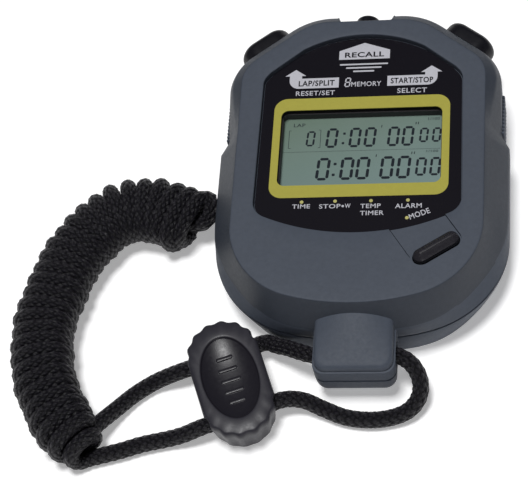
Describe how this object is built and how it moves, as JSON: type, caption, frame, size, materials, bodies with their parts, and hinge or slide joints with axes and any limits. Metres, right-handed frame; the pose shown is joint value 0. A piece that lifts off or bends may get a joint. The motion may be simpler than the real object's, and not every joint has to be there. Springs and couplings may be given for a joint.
{
  "type": "digital stopwatch",
  "caption": "Handheld electronic stopwatch with a two-row display, push buttons on its upper edge, a cord lug and a braided neck cord wound into a hank.",
  "frame": {"origin": "centre of the watch's footprint (its case and lug) on the surface it lies on", "axes": "+Z out of the display, +Y towards the push buttons, -Y towards the cord lug, +X to the right of the display"},
  "size_m": [0.1141, 0.1164, 0.022],
  "materials": {
    "shell": "fine satin grain",
    "seal": "matte",
    "steel": "bright",
    "lens": "clear, polished",
    "print": "glossy black print",
    "yellow": "printed olive yellow",
    "holder": "matte black",
    "lcd_glass": "polished",
    "reflector": "satin film",
    "dark_rubber": "matte",
    "board": "solder resist",
    "resin": "cast resin",
    "ceramic": "fired ceramic",
    "brass": "bright",
    "button": "satin to glossy black",
    "cover": "fine satin grain",
    "foam": "open foam",
    "cord": "braided, slight sheen",
    "slider": "satin black"
  },
  "bodies": {
    "case": {"front_shell": "shell", "rear_shell": "shell", "case_seal": "seal", "case_screws": "steel", "lens": "lens", "face_print": "print", "window_frame": "yellow", "lcd_holder": "holder", "lcd_front_glass": "lcd_glass", "lcd_rear_glass": "lcd_glass", "lcd_reflector": "reflector", "zebra_strips": "dark_rubber", "circuit_board": "board", "board_screws": "steel", "chip_blob": "resin", "board_parts": "ceramic", "quartz_crystal": "steel", "side_contacts": "brass", "mode_dome": "dark_rubber", "piezo_disc": "brass", "piezo_ceramic": "ceramic", "buzzer_springs": "steel", "battery": "steel", "battery_clip": "brass", "battery_spring": "brass", "battery_cover": "cover", "battery_pad": "foam", "battery_screw": "steel", "lanyard_left": "cord", "lanyard_right": "cord", "lanyard_hank": "cord"},
    "start_stop": {"start_stop_button": "button", "start_stop_clip": "steel"},
    "lap_reset": {"lap_reset_button": "button", "lap_reset_clip": "steel"},
    "recall": {"recall_button": "button", "recall_clip": "steel"},
    "mode": {"mode_button": "button"},
    "slider": {"cord_slider": "slider"}
  },
  "joints": [
    {"name": "start_stop_press", "type": "slide", "parent": "case", "child": "start_stop", "axis": [-0.6157, -0.788, 0], "range_m": [0, 0.0009], "stiffness_N_per_m": 800},
    {"name": "lap_reset_press", "type": "slide", "parent": "case", "child": "lap_reset", "axis": [0.6157, -0.788, 0], "range_m": [0, 0.0009], "stiffness_N_per_m": 800},
    {"name": "recall_press", "type": "slide", "parent": "case", "child": "recall", "axis": [0, -1, 0], "range_m": [0, 0.0009], "stiffness_N_per_m": 800},
    {"name": "mode_press", "type": "slide", "parent": "case", "child": "mode", "axis": [0, 0, -1], "range_m": [0, 0.0008], "stiffness_N_per_m": 600, "deforming": ["mode_dome"]},
    {"name": "slider_slide", "type": "slide", "parent": "case", "child": "slider", "axis": [-0.9397, -0.342, 0], "range_m": [-0.002, 0.003]}
  ]
}
